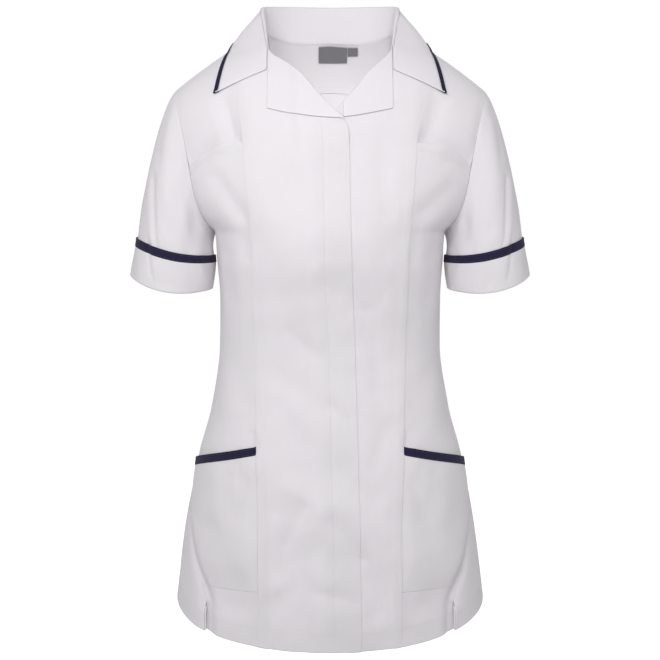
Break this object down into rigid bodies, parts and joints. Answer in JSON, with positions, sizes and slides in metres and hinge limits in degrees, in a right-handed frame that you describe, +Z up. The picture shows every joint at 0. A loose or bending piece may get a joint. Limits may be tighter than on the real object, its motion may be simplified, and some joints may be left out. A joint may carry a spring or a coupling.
{
  "type": "medical tunic",
  "caption": "Short-sleeved white medical tunic with an open collar and squared lapels, princess seams, turned-up cuffs and hip pockets with dark contrast bands, hollow as worn.",
  "frame": {"origin": "middle of the neck, level with the neck points on top of the shoulders, where the wearer's neck comes through", "axes": "+Z up along the standing wearer, the front faces -Y, the wearer's right is -X"},
  "size_m": [0.4772, 0.2492, 0.7487],
  "materials": {
    "white_cloth": "plain polyester and cotton cloth, matt",
    "navy_trim": "plain navy cloth, matt",
    "grey_label": "grey woven satin ribbon"
  },
  "bodies": {
    "root": {"front_right": "white_cloth", "front_left": "white_cloth", "side_front_upper_right": "white_cloth", "side_front_upper_left": "white_cloth", "side_front_lower_right": "white_cloth", "side_front_lower_left": "white_cloth", "back": "white_cloth", "side_back_right": "white_cloth", "side_back_left": "white_cloth", "back_neck_facing": "white_cloth", "lapel_right": "white_cloth", "lapel_left": "white_cloth", "collar": "white_cloth", "collar_trim": "navy_trim", "sleeve_right": "white_cloth", "sleeve_left": "white_cloth", "cuff_right": "white_cloth", "cuff_left": "white_cloth", "cuff_band_right": "navy_trim", "cuff_band_left": "navy_trim", "hip_pocket_right": "white_cloth", "hip_pocket_left": "white_cloth", "hip_pocket_band_right": "navy_trim", "hip_pocket_band_left": "navy_trim", "neck_label": "grey_label", "size_tab": "grey_label"}
  },
  "joints": []
}
